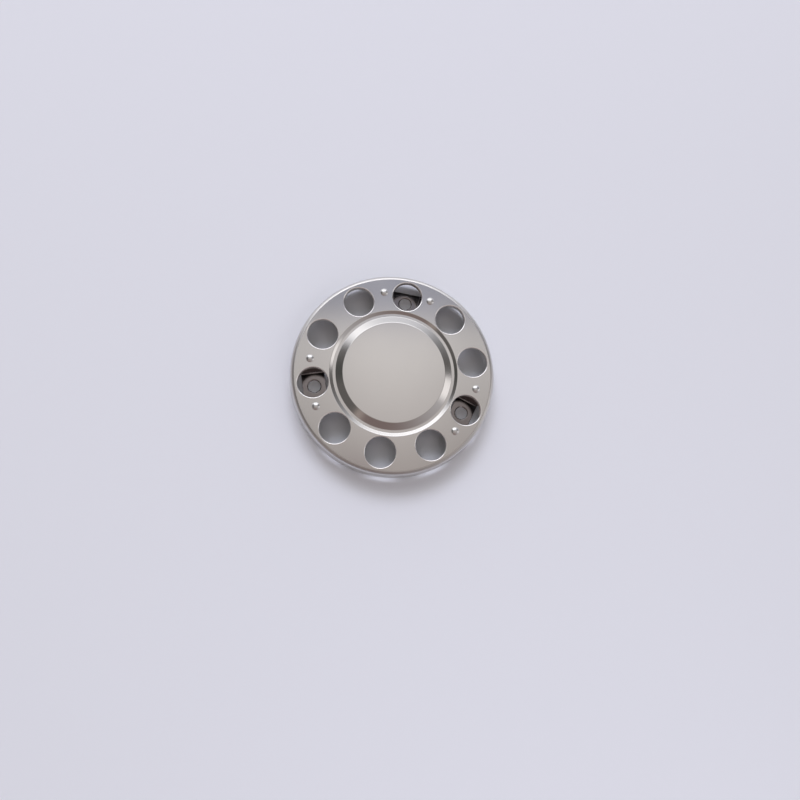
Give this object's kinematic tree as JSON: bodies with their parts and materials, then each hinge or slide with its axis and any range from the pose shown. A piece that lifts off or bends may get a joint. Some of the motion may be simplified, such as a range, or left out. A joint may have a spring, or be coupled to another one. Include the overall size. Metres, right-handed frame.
{
  "type": "truck wheel cover",
  "caption": "Pressed stainless cover for the front of a truck wheel: raised centre disc, lipped nut holes, steep skirt, and riveted steel brackets that hold it off the wheel face.",
  "frame": {"origin": "on the wheel's axis, in the plane of the brackets' undersides", "axes": "+Z along the wheel's axis, out of the face; +Y towards the nut hole with the first bracket"},
  "size_m": [0.432, 0.432, 0.048],
  "materials": {
    "cover_stainless": "bright annealed, satin",
    "bracket_steel": "plain zinc-plated, dull",
    "rivet_stainless": "polished"
  },
  "bodies": {
    "root": {"wheel_cover": "cover_stainless", "bracket_1": "bracket_steel", "bracket_2": "bracket_steel", "bracket_3": "bracket_steel", "rivet_1_left": "rivet_stainless", "rivet_1_right": "rivet_stainless", "rivet_2_left": "rivet_stainless", "rivet_2_right": "rivet_stainless", "rivet_3_left": "rivet_stainless", "rivet_3_right": "rivet_stainless"}
  },
  "joints": []
}
